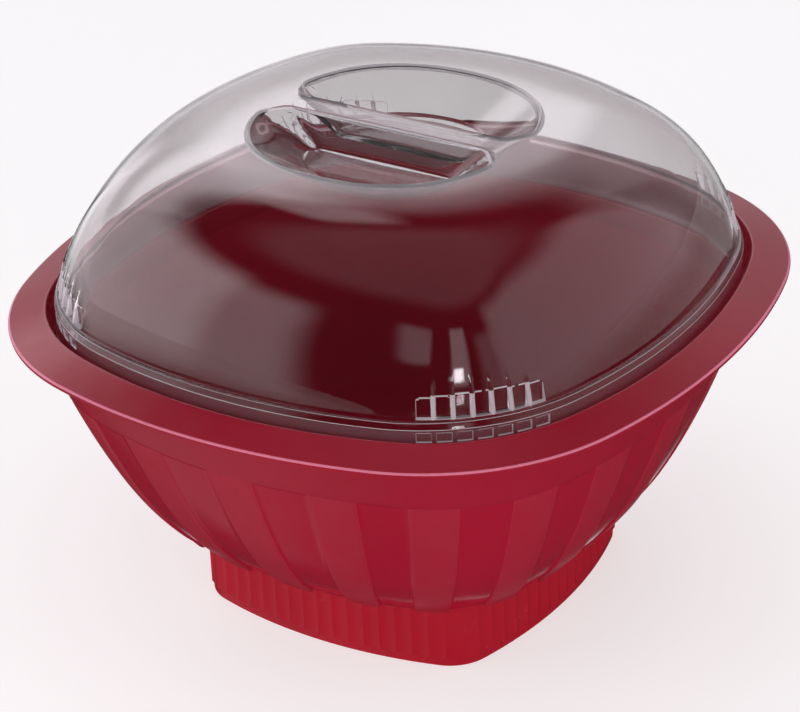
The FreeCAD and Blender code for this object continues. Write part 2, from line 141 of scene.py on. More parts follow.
def ring(section, columns, centre=0.0, inward=None):
    """One closed row of points: a section met by the columns of a quarter, four times.

    Each column is (x share, y share, angle): it leaves the point (centre * share) at the angle. inward moves
    each point of the quarter back towards its column's start.
    """
    height, half, side, corner = section
    start = columns[:, :2] * centre
    towards = np.column_stack([np.cos(columns[:, 2]), np.sin(columns[:, 2])])
    length = reach(start, towards, half, side, corner)
    if inward is not None:
        length = length - inward(length)
    quarter = start + towards * length[:, None]
    turns = [(quarter[:, 0], quarter[:, 1]), (-quarter[:, 1], quarter[:, 0]),
             (-quarter[:, 0], -quarter[:, 1]), (quarter[:, 1], -quarter[:, 0])]
    around = np.vstack([np.column_stack(turn) for turn in turns])
    return np.column_stack([around, np.full(len(around), height)])


def central_columns(angles):
    """Columns for ring that all leave the middle."""
    return np.column_stack([np.zeros(len(angles)), np.zeros(len(angles)), angles])


def grid_faces(rows, columns, first=0):
    """Quads between closed rows of points, the first of which starts at point number first."""
    faces = []
    for row in range(rows - 1):
        for column in range(columns):
            beside = (column + 1) % columns
            low, high = first + row * columns, first + (row + 1) * columns
            faces.append((low + column, low + beside, high + beside, high + column))
    return faces


def grown(outline, outward):
    """An outline moved outward."""
    return tuple(size + outward for size in outline)


def mixed(first, last, share):
    """A section or an outline part of the way from one to another."""
    return tuple(a + (b - a) * share for a, b in zip(first, last))


def curve(first, corner, last, t):
    """A quadratic curve from first to last that rounds the corner between them."""
    return (1 - t) ** 2 * first + 2 * t * (1 - t) * corner + t * t * last


def fillet(first, corner, last, count):
    """Sections that round the corner between two others."""
    first, corner, last = (np.array(section, dtype=float) for section in (first, corner, last))
    return [tuple(curve(first, corner, last, t)) for t in np.linspace(0, 1, count)]


def smooth_step(low, high, values):
    """Smoothly 0 to 1 as values go from low to high."""
    share = np.clip((values - low) / (high - low), 0, 1)
    return share * share * (3 - 2 * share)


def add_mesh(name, points, faces, materials, body, face_material=None, sharp=35):
    """A mesh object from points in millimetres; it rides on a body and is finished as a slot."""
    mesh = bpy.data.meshes.new(name)
    mesh.from_pydata([tuple(point * MM) for point in points], [], faces)
    piece = bpy.data.objects.new(name, mesh)
    bpy.context.collection.objects.link(piece)
    for plastic in materials:
        mesh.materials.append(plastic)
    if face_material is not None:
        mesh.polygons.foreach_set("material_index", face_material)
    mesh.validate()
    mesh.polygons.foreach_set("use_smooth", [True] * len(mesh.polygons))
    mesh.set_sharp_from_angle(angle=math.radians(sharp))
    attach(piece, body)
    return piece


def weld(piece, distance=1e-6):
    """Joins points that lie on each other and makes every face look outwards."""
    work = bmesh.new()
    work.from_mesh(piece.data)
    bmesh.ops.remove_doubles(work, verts=work.verts, dist=distance)
    bmesh.ops.recalc_face_normals(work, faces=work.faces)
    work.to_mesh(piece.data)
    work.free()


# ------------------------------------------------------------ materials

MICRON = 0.001 * MM
NOISE_LOW, NOISE_HIGH = 0.3, 0.7        # most of a noise texture's values lie between these
PLASTIC_IOR = 1.49


def material(name):
    """A new material, its node tree and its Principled shader."""
    made = bpy.data.materials.new(name)
    made.use_nodes = True
    return made, made.node_tree, made.node_tree.nodes["Principled BSDF"]


def noise(tree, scale, detail=3.0, stretch=(1, 1, 1)):
    """Noise in object space, at a scale per metre."""
    place = tree.nodes.new("ShaderNodeTexCoord")
    mapping = tree.nodes.new("ShaderNodeMapping")
    mapping.inputs["Scale"].default_value = stretch
    texture = tree.nodes.new("ShaderNodeTexNoise")
    texture.inputs["Scale"].default_value = scale
    texture.inputs["Detail"].default_value = detail
    tree.links.new(place.outputs["Object"], mapping.inputs["Vector"])
    tree.links.new(mapping.outputs["Vector"], texture.inputs["Vector"])
    return texture.outputs["Fac"]


def between(tree, factor, low, high):
    """A value that follows a noise from low to high."""
    spread = tree.nodes.new("ShaderNodeMapRange")
    limits = {"From Min": NOISE_LOW, "From Max": NOISE_HIGH, "To Min": low, "To Max": high}
    for name, number in limits.items():
        spread.inputs[name].default_value = number
    tree.links.new(factor, spread.inputs["Value"])
    return spread.outputs["Result"]


def colours(tree, factor, dark, light):
    """A colour that follows a noise from dark to light."""
    ramp = tree.nodes.new("ShaderNodeValToRGB")
    for stop, place, colour in zip(ramp.color_ramp.elements, (NOISE_LOW, NOISE_HIGH), (dark, light)):
        stop.position = place
        stop.color = (*colour, 1)
    tree.links.new(factor, ramp.inputs["Fac"])
    return ramp.outputs["Color"]


def bump(tree, shader, factor, depth):
    """Fine relief that follows a noise, as deep as depth in metres."""
    node = tree.nodes.new("ShaderNodeBump")
    node.inputs["Distance"].default_value = depth
    node.inputs["Strength"].default_value = 1.0
    tree.links.new(factor, node.inputs["Height"])
    tree.links.new(node.outputs["Normal"], shader.inputs["Normal"])


def red_plastic(name, dark, light, rough, grain, depth=6 * MICRON, glow=0.0, shine=0.5):
    """Moulded crimson plastic: faint colour drift from the melt's flow, uneven gloss and fine grain."""
    made, tree, shader = material(name)
    flow = noise(tree, 14, stretch=(1, 1, 0.35))
    tree.links.new(colours(tree, flow, dark, light), shader.inputs["Base Color"])
    tree.links.new(between(tree, noise(tree, 90), *rough), shader.inputs["Roughness"])
    bump(tree, shader, noise(tree, grain), depth)
    shader.inputs["IOR"].default_value = PLASTIC_IOR
    shader.inputs["Specular IOR Level"].default_value = shine
    shader.inputs["Subsurface Weight"].default_value = glow
    shader.inputs["Subsurface Radius"].default_value = (1.0, 0.12, 0.15)
    shader.inputs["Subsurface Scale"].default_value = 0.004
    return made


def clear_plastic(name, tint, rough, clearness=1.0):
    """Clear moulded plastic with a faint tint; lamps shine through it."""
    made, tree, shader = material(name)
    shader.inputs["Base Color"].default_value = (*tint, 1)
    shader.inputs["Transmission Weight"].default_value = clearness
    shader.inputs["IOR"].default_value = PLASTIC_IOR
    tree.links.new(between(tree, noise(tree, 60), *rough), shader.inputs["Roughness"])
    bump(tree, shader, noise(tree, 25, detail=1.0), 40 * MICRON)
    path = tree.nodes.new("ShaderNodeLightPath")
    through = tree.nodes.new("ShaderNodeBsdfTransparent")
    through.inputs["Color"].default_value = (*tint, 1)
    mix = tree.nodes.new("ShaderNodeMixShader")
    output = tree.nodes["Material Output"]
    tree.links.new(path.outputs["Is Shadow Ray"], mix.inputs["Fac"])
    tree.links.new(shader.outputs["BSDF"], mix.inputs[1])
    tree.links.new(through.outputs["BSDF"], mix.inputs[2])
    tree.links.new(mix.outputs["Shader"], output.inputs["Surface"])
    return made


GLOSS_RED = red_plastic("crimson_gloss", (0.28, 0.005, 0.019), (0.32, 0.006, 0.023), rough=(0.12, 0.18),
                        grain=900, depth=4 * MICRON, shine=0.42)
SATIN_RED = red_plastic("crimson_satin", (0.27, 0.005, 0.019), (0.31, 0.006, 0.023), rough=(0.20, 0.27),
                        grain=1500)
MATTE_RED = red_plastic("crimson_matte", (0.30, 0.006, 0.021), (0.34, 0.008, 0.026), rough=(0.30, 0.42),
                        grain=1800, depth=20 * MICRON, shine=0.36)
SKIRT_RED = red_plastic("crimson_skirt", (0.35, 0.006, 0.018), (0.40, 0.008, 0.022), rough=(0.20, 0.28),
                        grain=1200, glow=0.2, shine=0.25)
INSIDE_RED = red_plastic("crimson_inside", (0.31, 0.007, 0.024), (0.36, 0.009, 0.029), rough=(0.3, 0.4),
                         grain=1500, shine=0.03)
# A lighter pink for the middle of the rim's rounded outer edge: a painted highlight, the light line along the
# rim put into the colour.
RIM_PAINTED_HIGHLIGHT_RED = red_plastic("crimson_rim_painted_highlight", (0.62, 0.15, 0.24), (0.70, 0.19, 0.29), rough=(0.22, 0.32), grain=1200)
CLEAR = clear_plastic("clear_plastic", (0.78, 0.768, 0.773), rough=(0.008, 0.03))
# A whitish, half-frosted clear plastic on narrow faces of the lid: painted highlights on the vents' steps and
# arches, the ribs, the ledge's edges and the pockets' rims.
CLEAR_PAINTED_HIGHLIGHT = clear_plastic("clear_plastic_painted_highlight", (0.88, 0.83, 0.87), rough=(0.06, 0.12), clearness=0.55)
CLEAR_LIP = clear_plastic("clear_plastic_lip", (0.80, 0.70, 0.77), rough=(0.03, 0.08), clearness=0.93)


# ------------------------------------------------------------ bowl

def wall(s, outward=0.0, lift=0.0):
    """The bowl's wall at fraction s of its flare, moved outward and, near its foot, up."""
    flare = 1 - (1 - s ** WALL_BELLY) ** (1 / WALL_FLARE)
    if s > TUCK_AT:
        lowered = TUCK_DROP * np.clip((TUCK_END - s) / (TUCK_END - TUCK_AT), 0, 1) ** 2
    else:
        lowered = TUCK_DROP * (s / TUCK_AT) ** 3
    height = WALL_FOOT[0] + (WALL_TOP[0] - WALL_FOOT[0]) * flare + lift * (1 - s) - lowered
    return (height, *(low + (high - low) * s + outward for low, high in zip(WALL_FOOT[1:], WALL_TOP[1:])))


def panel_columns():
    """A quarter's columns, closer together at the panels' edges, and how far each lies on a panel, 0 to 1."""
    places = np.radians(PANEL_PLACES)
    gaps = np.diff(places)
    pitches = (np.append(gaps, gaps[0]) + np.insert(gaps, 0, gaps[-1])) / 2
    halves = pitches * PANEL_SHARE / 2
    soft = math.radians(PANEL_SOFT)
    angles, shares = [], []
    for place, half, beside, beside_half in zip(places, halves, places[1:], halves[1:]):
        low, high = place + half, beside - beside_half
        angles += [*np.linspace(place, low - soft, ON_PANEL), low,
                   *np.linspace(low + soft, high - soft, OFF_PANEL), high,
                   *np.linspace(high + soft, beside, ON_PANEL)[:-1]]
        shares += [1.0] * ON_PANEL + [0.5] + [0.0] * OFF_PANEL + [0.5] + [1.0] * (ON_PANEL - 1)
    return central_columns(angles), np.array(shares)


def wall_rows():
    """The wall's outside from the underside up: (section, surface, section on the panels or None)."""
    rows = [(wall(s), "gloss", None) for s in (0.0, 0.03, 0.062)]
    tuck_low = wall(TUCK_AT)[0] - TUCK_DEPTH
    for s in (0.066, 0.10, 0.14, 0.18, 0.22):
        under = min(tuck_low, wall(s)[0])
        panel = (min(PANEL_LOW, under), *wall(s, PANEL_END_PROUD * s / TUCK_AT)[1:])
        rows.append(((under, *wall(s)[1:]), "wall", panel))
    tuck = fillet((tuck_low, *wall(0.235)[1:]), (tuck_low, *wall(TUCK_AT + 0.005)[1:]), wall(0.28), 5)
    panel_tuck = fillet((PANEL_LOW, *wall(0.245, PANEL_END_PROUD)[1:]),
                        (PANEL_LOW, *wall(0.27, PANEL_END_PROUD)[1:]),
                        wall(0.285, PANEL_END_PROUD, -PANEL_END_PROUD), 5)
    rows += [(section, "wall", panel) for section, panel in zip(tuck, panel_tuck)]
    for s in (0.295, 0.31, 0.325, 0.34):
        rows.append((wall(s), "wall", wall(s, PANEL_END_PROUD, -PANEL_END_PROUD)))
    top = next(s for s in np.linspace(PANEL_EVEN, 1, 200) if wall(s)[0] > PANEL_HIGH)
    for s in np.linspace(PANEL_EVEN, top - 0.004, 30):
        thicker = 1 - smooth_step(PANEL_EVEN, PANEL_THIN, s)
        proud = PANEL_PROUD + (PANEL_END_PROUD - PANEL_PROUD) * thicker
        rows.append((wall(s), "wall", wall(s, proud, -proud)))
    # the panels' upper ends and the collar above them
    rows.append((wall(top - 0.002), "wall", wall(top - 0.002, PANEL_PROUD * 0.85, -PANEL_PROUD)))
    collar = [wall(top, COLLAR_PROUD * 0.5), wall(top + 0.003, COLLAR_PROUD)]
    for s in np.linspace(top + 0.01, WALL_MEETS, 14):
        collar.append(wall(s, COLLAR_PROUD * (1 - (s - top) / (1 - top))))
    return rows + [(section, "satin", None) for section in collar]


def flange_rows():
    """Under the flange, round its edge and over its top, in the same form."""
    under = RIM_HIGH - FLANGE_WALL + 0.6
    inner_edge = grown(RIM, -FLANGE_WALL)
    meeting = wall(WALL_MEETS)[1:]
    below = [(under + 2.2, *grown(meeting, 0.8)),
             (under + 1.6, *mixed(meeting, inner_edge, 0.5)),
             (under + 0.2, *grown(inner_edge, -0.8)),
             (under - 0.3, *grown(inner_edge, -0.1)),
             (RIM_LOW + 0.2, *inner_edge),
             (RIM_LOW, *grown(inner_edge, 0.25)),
             (RIM_LOW, *grown(RIM, -0.55))]
    below += fillet((RIM_LOW, *grown(RIM, -0.5)), (RIM_LOW, *grown(RIM, -0.1)),
                    (RIM_LOW + 0.5, *grown(RIM, -0.1)), 4)[1:]
    slope_out = (RIM_HIGH + 0.35, *grown(RIM, -1.3))
    slope_in = (SEAT_HEIGHT - 0.15, *grown(SEAT, 0.9))
    edge = fillet((RIM_HIGH - 0.7, *RIM), (RIM_HIGH + 0.02, *RIM), slope_out, 10)
    slope = [mixed(slope_out, slope_in, share) for share in (0.1, 0.25, 0.45, 0.65, 0.85, 0.95)]
    rows = [(section, "satin", None) for section in below]
    # The middle rows of the rim's rounded outer edge take the lighter pink of the painted highlight.
    rows += [(section, "edge" if 2 <= number <= 6 else "satin", None) for number, section in enumerate(edge)]
    return rows + [(section, "satin", None) for section in slope]


def recess_rows():
    """The mouth's edge, and the recess down to the shelf that the lid stands on."""
    mouth = (SEAT_HEIGHT - 0.7, *grown(SEAT, -0.1))
    shelf_outer, shelf_inner = grown(SEAT, -SHELF_INSET), grown(SEAT, -SHELF_INSET - SHELF_WIDTH)
    sections = fillet((SEAT_HEIGHT - 0.12, *grown(SEAT, 0.8)), (SEAT_HEIGHT + 0.02, *SEAT), mouth, 6)
    sections += [mixed(mouth, (SHELF_HEIGHT, *shelf_outer), share) for share in (0.3, 0.6, 0.9)]
    sections += fillet((SHELF_HEIGHT + 0.8, *grown(shelf_outer, 0.1)), (SHELF_HEIGHT, *shelf_outer),
                       (SHELF_HEIGHT, *grown(shelf_outer, -0.8)), 4)
    sections += fillet((SHELF_HEIGHT, *grown(shelf_inner, 0.6)), (SHELF_HEIGHT, *shelf_inner),
                       (SHELF_HEIGHT - 0.6, *grown(shelf_inner, -0.2)), 4)
    return [(section, "satin", None) for section in sections]


def inside_rows():
    """The wall's inside from the shelf down, and the floor."""
    sections = [wall(s, -WALL, WALL) for s in np.linspace(INSIDE_FROM, 0.0, 40)]
    floor = wall(0, -WALL)[1:]
    sections += [(WALL_FOOT[0] + WALL, *(size * share for size in floor)) for share in (0.85, 0.6, 0.3)]
    return [(section, "inside", None) for section in sections]


def make_bowl():
    """The bowl: one shell of rows round it, closed by the floor's middle above and below."""
    columns, quarter = panel_columns()
    on_panel = np.tile(quarter, 4)
    count = len(on_panel)
    rows, surfaces = [], []
    for section, surface, panel in wall_rows() + flange_rows() + recess_rows() + inside_rows():
        row = ring(section, columns)
        if panel is not None:
            row = row + (ring(panel, columns) - row) * on_panel[:, None]
        rows.append(row)
        surfaces.append(surface)

    # The surface edge is the rim's painted highlight.
    materials = {"gloss": GLOSS_RED, "satin": SATIN_RED, "panel": MATTE_RED, "edge": RIM_PAINTED_HIGHLIGHT_RED,
                 "inside": INSIDE_RED}
    number = {surface: place for place, surface in enumerate(materials)}
    panel_faces = (on_panel + np.roll(on_panel, -1)) / 2 > 0.5
    numbers = []
    for surface in surfaces[:-1]:
        if surface == "wall":
            numbers += np.where(panel_faces, number["panel"], number["gloss"]).tolist()
        else:
            numbers += [number[surface]] * count

    faces = grid_faces(len(rows), count)
    last, floor_middle, low_middle = (len(rows) - 1) * count, len(rows) * count, len(rows) * count + 1
    for column in range(count):
        beside = (column + 1) % count
        faces += [(last + column, last + beside, floor_middle), (beside, column, low_middle)]
        numbers += [number["inside"], number["gloss"]]
    points = np.vstack(rows + [np.array([[0, 0, WALL_FOOT[0] + WALL], [0, 0, WALL_FOOT[0]]])])
    piece = add_mesh("bowl_shell", points, faces, materials.values(), "bowl", numbers)
    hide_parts("bowl")


def flute_columns(outline):
    """A quarter's columns, even along an outline so that every ridge has one, and each point's hollow."""
    angles = np.linspace(0, math.pi / 2, FLUTES // 4 * PER_FLUTE, endpoint=False)
    around = ring((0, *outline), central_columns(angles))
    steps = np.linalg.norm(np.diff(np.vstack([around, around[:1]])[:, :2], axis=0), axis=1)
    travelled = np.concatenate([[0], np.cumsum(steps)[:-1]])
    pitch = steps.sum() / FLUTES
    even = np.arange(FLUTES * PER_FLUTE) * pitch / PER_FLUTE
    turns = np.interp(even, np.append(travelled, steps.sum()),
                      np.arange(len(travelled) + 1) * math.tau / len(travelled))
    across = (np.arange(len(turns)) % PER_FLUTE) / PER_FLUTE * 2 - 1
    return central_columns(turns[:len(turns) // 4]), FLUTE_DEPTH * (1 - across ** 2)


def make_skirt():
    """The foot skirt: a plain foot, and above it round upright flutes with sharp ridges between them."""
    inner, body = grown(SKIRT, -SKIRT_WALL), grown(SKIRT, FOOT_STEP)
    columns, hollow = flute_columns(body)
    rows = []

    def add(height, outline, share=0.0):
        row = ring((height, *outline), columns)
        outward = row[:, :2] / np.linalg.norm(row[:, :2], axis=1)[:, None]
        row[:, :2] -= outward * (hollow * share)[:, None]
        rows.append(row)

    for height in (SKIRT_TOP, 20, 10, 0.4):
        add(height, inner)
    add(0.0, grown(inner, 0.35))
    add(0.0, grown(SKIRT, -0.4))
    add(0.12, grown(SKIRT, -0.12))
    add(0.4, SKIRT)
    add(FOOT_HIGH - 0.3, SKIRT)
    add(FOOT_HIGH, grown(SKIRT, 0.12))
    add(FOOT_HIGH + 0.05, grown(body, -0.25), 0.6)
    for height in (FOOT_HIGH + 0.3, 8, 14, 20, FLUTE_HIGH - 0.4):
        add(height, body, 1.0)
    add(FLUTE_HIGH, body, 0.5)
    add(FLUTE_HIGH + 0.2, body)
    add(SKIRT_TOP, grown(body, -0.1))
    rows.append(rows[0].copy())
    piece = add_mesh("foot_skirt", np.vstack(rows), grid_faces(len(rows), len(hollow)), [SKIRT_RED], "bowl")
    weld(piece)
    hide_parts("bowl")


# ------------------------------------------------------------ lid

def dome(s, inward=0.0):
    """The dome where its half-width is the fraction s of its base; rounder towards the crown."""
    rise = DOME_RISE * (1 - s ** DOME_SHOULDER) ** (1 / DOME_CROWN)
    half = DOME_HALF * s
    side_foot, side_fall, side_power = DOME_SIDE
    side = half * (side_foot - side_fall * (1 - s) ** side_power)
    corner_foot, corner_rise, corner_power = DOME_CORNER
    gain, gain_power = DOME_CORNER_FOOT
    corner = half * (corner_foot + corner_rise * (1 - s) ** corner_power + gain * s ** gain_power)
    return (DOME_BASE + rise - inward * (1 - s ** 3), half - inward, side - inward, corner - inward)


def dome_at(height, inward=0.0):
    """The dome's section at a height, found by halving."""
    low, high = DOME_TOP, 1.0
    for _ in range(40):
        middle = (low + high) / 2
        if dome(middle, inward)[0] > height:
            low = middle
        else:
            high = middle
    return dome((low + high) / 2, inward)


def ledge(height, half):
    """A section of the lip or the ledge, at its half-width."""
    return (height, half, LEDGE_SIDE + half - LEDGE_HALF, LEDGE_CORNER + half - LEDGE_HALF)


def lid_columns():
    """A quarter's columns, from the middle of one side round the corner to the middle of the next."""
    shares = np.linspace(0, 1, 9)[:-1]
    side_up = [(1, share, 0.0) for share in shares]
    side_down = [(share, 1, math.pi / 2) for share in shares[:0:-1]]
    first = 45 - VENTS * VENT_STEP / 2
    plain = np.linspace(0, first, 13)[:-1]
    vents = [first + VENT_STEP * (i + 0.5) + offset for i in range(VENTS) for offset in VENT_OFFSETS]
    angles = [*plain, *vents, 90 - first, *(90 - plain[:0:-1]), 90]
    corner = [(1, 1, math.radians(angle)) for angle in angles]
    return np.array(side_up + corner + side_down)


def vent_places(columns):
    """Which of a quarter's columns are in a vent or on a rib, and their angles off a vent's middle."""
    on_corner = (columns[:, 0] == 1) & (columns[:, 1] == 1)
    offset = np.degrees(columns[:, 2]) - 45
    from_middle = np.abs((offset + VENT_STEP / 2) % VENT_STEP - VENT_STEP / 2)
    group = VENTS * VENT_STEP / 2
    in_vent = (np.abs(offset) < group) & (from_middle < VENT_HALF) & on_corner
    on_rib = (np.abs(offset) < group - 1) & (from_middle > RIB_FROM) & on_corner
    return in_vent, on_rib, np.radians(from_middle)


LID_COLUMNS = lid_columns()
LID_COUNT = 4 * len(LID_COLUMNS)
LID_CENTRE = LEDGE_HALF * VENT_CENTRE
IN_VENT, ON_RIB, OFF_MIDDLE = vent_places(LID_COLUMNS)
LEVELS = [VENT_LOW - 0.05, VENT_LOW + 0.05, *np.arange(VENT_LOW + LEVEL_STEP, VENT_HIGH + 1.5, LEVEL_STEP)]


def lip_outside():
    """The lip and the ledge from below up: rows, the notches' depth in each, and the ledge's edge rows."""
    shaped = [(section, 0) for section in fillet(ledge(LIP_LOW, LIP_HALF - 0.5), ledge(LIP_LOW, LIP_HALF),
                                                 ledge(LIP_LOW + 0.5, LIP_HALF), 4)]
    slope = (LEDGE_LOW_HALF - LIP_HALF) / (LEDGE_LOW - LIP_LOW)
    plain = [116, 120, NOTCH_LOW]
    notched = [NOTCH_LOW + 0.1, NOTCH_LOW + 1, NOTCH_LOW + 2, NOTCH_HIGH - 1, NOTCH_HIGH - 0.6]
    for heights, depth in ((plain, 0), (notched, NOTCH_DEPTH), ([NOTCH_HIGH - 0.5], 0)):
        shaped += [(ledge(height, LIP_HALF + slope * (height - LIP_LOW)), depth) for height in heights]
    ledge_rows = [len(shaped) + 2, len(shaped) + 7]     # the middles of the ledge's two rounded edges, which carry a painted highlight
    top = fillet(ledge(LEDGE_LOW - 0.5, LEDGE_LOW_HALF), ledge(LEDGE_LOW, LEDGE_LOW_HALF),
                 ledge(LEDGE_LOW + 0.5, LEDGE_LOW_HALF - 0.22), 5)
    top += fillet(ledge(LEDGE_HIGH - 0.5, LEDGE_HALF + 0.22), ledge(LEDGE_HIGH, LEDGE_HALF),
                  ledge(LEDGE_HIGH, LEDGE_HALF - 0.5), 5)
    top += fillet((LEDGE_HIGH, *grown(dome_at(LEDGE_HIGH)[1:], 0.5)), dome_at(LEDGE_HIGH),
                  dome_at(LEDGE_HIGH + 0.45), 4)
    shaped += [(section, 0) for section in top]
    rows, depths = [], []
    for section, depth in shaped:
        cut = np.where(IN_VENT, depth, 0)
        rows.append(ring(section, LID_COLUMNS, LID_CENTRE, lambda length: cut))
        depths.append(np.tile(cut, 4))
    return rows, depths, ledge_rows


def lip_inside():
    """The lip's inside, from its lower edge up to the dome's."""
    low, high = ledge(LIP_LOW, LIP_HALF - LID_WALL), dome_at(LEVELS[0], LID_WALL)
    sections = [ledge(LIP_LOW, LIP_HALF - LID_WALL + 0.3), ledge(LIP_LOW + 0.3, LIP_HALF - LID_WALL)]
    for height in (114, 118, 122, 126, 129):
        sections.append(mixed(low, high, (height - LIP_LOW) / (LEVELS[0] - LIP_LOW)))
    return [ring(section, LID_COLUMNS, LID_CENTRE) for section in sections]


def vent_face(rib):
    """How far a band's points move back: in a vent to its flat face, and on a rib outwards."""
    def back(length):
        to_face = np.maximum(length - VENT_DEPTH / np.cos(OFF_MIDDLE), 0)
        return np.where(IN_VENT, to_face, np.where(ON_RIB, -rib, 0))
    return back


def vent_band():
    """The dome's foot, with the vents: outer rows, inner rows, and how deep the vents cut each outer row."""
    outer, inner, depths = [], [], []
    for level in LEVELS:
        section = dome_at(level)
        plain = cut = ring(section, LID_COLUMNS, LID_CENTRE)
        plain_in = ring(dome_at(level, LID_WALL), LID_COLUMNS, LID_CENTRE)
        if level > VENT_LOW:
            rib = RIB_PROUD * (1 - smooth_step(VENT_HIGH - 7, VENT_HIGH - 1, section[0]))
            cut = ring(section, LID_COLUMNS, LID_CENTRE, vent_face(rib))
        depths.append(np.where(np.tile(IN_VENT, 4), np.linalg.norm(plain - cut, axis=1), 0))
        if level > VENT_LOW:    # where the flat face meets the dome's inside, an opening starts
            through = np.linalg.norm(cut[:, :2], axis=1) < np.linalg.norm(plain_in[:, :2], axis=1)
            cut = np.where(through[:, None], plain_in, cut)
        outer.append(cut)
        inner.append(plain_in)
    return outer, inner, depths


def dome_rows(inward):
    """The dome above the band, up to the flat crown."""
    start = next(s for s in np.linspace(1, DOME_TOP, 4000) if dome(s, inward)[0] > LEVELS[-1] + 0.6)
    sections = [dome(s, inward) for s in np.linspace(start, DOME_TOP, 46)]
    return [ring(section, LID_COLUMNS, LID_CENTRE * min(1, section[1] / DOME_DRAWN_IN))
            for section in sections]


def find_openings(outer, inner):
    """Which of the band's faces have no thickness, row by row: there the vents are open."""
    met = [np.linalg.norm(out_row - in_row, axis=1) < 1e-6 for out_row, in_row in zip(outer, inner)]
    met = [points & np.roll(points, -1) for points in met]
    return np.array([low & high for low, high in zip(met, met[1:])])


def painted_highlight_faces(depths, openings, first):
    """Which outer faces carry a painted highlight: steps and arches of vents and notches, and ribs between
    vents.

    depths says how deep each row is cut, and the band starts at row number first.
    """
    beside = np.roll(depths, -1, axis=1)
    across = np.abs(depths - beside)
    edges = np.maximum(across[:-1], across[1:]) > STEP_ACROSS
    edges[:first + 1] |= (np.abs(depths[1:] - depths[:-1]) > STEP_UP)[:first + 1]
    edges |= (depths[1:] == 0) & (depths[:-1] > 0) & (beside[:-1] > 0)
    edges[first + 1:] |= openings[:-1] & ~openings[1:]
    on_rib = np.tile(ON_RIB, 4)
    edges[first + 1:first + RIB_ROWS] |= on_rib | np.roll(on_rib, -1)
    return edges


def sheet_faces(rows, band, openings, first):
    """One of the lid's two sheets, without the faces in the openings. Its band starts at row number band."""
    kept = np.ones((rows - 1, LID_COUNT), bool)
    kept[band:band + len(openings)] = ~openings
    faces = grid_faces(rows, LID_COUNT, first)
    return [face for face, keep in zip(faces, kept.ravel()) if keep], kept


def make_lid():
    """The lid: an outer and an inner sheet that meet in the vents' openings and at the lip, with crowns."""
    lip_out, lip_depths, ledge_rows = lip_outside()
    lip_in = lip_inside()
    outer, inner, vent_depths = vent_band()
    dome_out, dome_in = dome_rows(0.0), dome_rows(LID_WALL)
    rows_out, rows_in = lip_out + outer + dome_out, lip_in + inner + dome_in
    openings = find_openings(outer, inner)
    second = len(rows_out) * LID_COUNT
    faces, kept = sheet_faces(len(rows_out), len(lip_out), openings, 0)
    faces_in, _ = sheet_faces(len(rows_in), len(lip_in), openings, second)

    # The kind edge is the whitish clear plastic of painted highlights.
    clear, edge, lip = range(3)
    kinds = np.full(kept.shape, clear)
    heights = np.array([row[0, 2] for row in rows_out])
    kinds[heights[:-1] < LEDGE_LOW - 0.4] = lip
    # The ledge's two rounded edges carry a painted highlight.
    kinds[ledge_rows] = edge
    edges = painted_highlight_faces(np.array(lip_depths + vent_depths), openings, len(lip_out))
    kinds[:len(edges)][edges] = edge
    kinds = kinds[kept].tolist()

    faces += [face[::-1] for face in faces_in]
    # the lip's lower edge closes the two sheets
    faces += [(second + i, second + (i + 1) % LID_COUNT, (i + 1) % LID_COUNT, i) for i in range(LID_COUNT)]
    kinds += [clear] * (len(faces) - len(kinds))

    points = rows_out + rows_in
    first = len(points) * LID_COUNT
    for edge_ring, spread, level, inside in ((dome_out[-1], 0.0, CROWN, False),
                                             (dome_in[-1], LID_WALL, dome_in[-1][0, 2], True)):
        for half_turn in (False, True):
            half_points, half_faces, row_length = crown_half(edge_ring, spread, level, half_turn)
            faces += [tuple(first + i for i in (face[::-1] if inside else face)) for face in half_faces]
            # On the outer crown the pocket's rounded rim carries a painted highlight.
            kinds += [edge if not inside and i // row_length in RIM_ROWS else clear
                      for i in range(len(half_faces))]
            points.append(half_points)
            first += len(half_points)
    piece = add_mesh("lid_shell", np.vstack(points), faces, [CLEAR, CLEAR_PAINTED_HIGHLIGHT, CLEAR_LIP], "lid",
                     kinds, sharp=40)
    weld(piece, 2e-6)
    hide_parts("lid")


def pocket_reach(towards, outline, spread):
    """Distance from the pocket's middle to its D-shaped outline, with rounded corners."""
    half, side, corner, round_reach, web_reach = (size + spread for size in outline[:5])
    web = outline[5] - spread
    x, y = np.abs(towards[:, 0]), towards[:, 1]
    start = np.tile([0.0, -POCKET_MIDDLE], (len(x), 1))
    to_round = reach(start, np.column_stack([x, -y]), half, side, corner)
    never, least = 1e6, 1e-6
    to_web = np.where(y > least, (-web - POCKET_MIDDLE) / np.maximum(y, least), never)
    slope = np.array([round_reach - web_reach, web - END_WALL * half])
    normal = np.array([-slope[1], slope[0]]) / np.linalg.norm(slope)
    facing = x * normal[0] + y * normal[1]
    distance = web_reach * normal[0] + (-web - POCKET_MIDDLE) * normal[1]
    to_end = np.where(facing > least, distance / np.maximum(facing, least), never)
    return sum(length ** -CORNER_POWER for length in (to_web, to_round, to_end)) ** (-1 / CORNER_POWER)


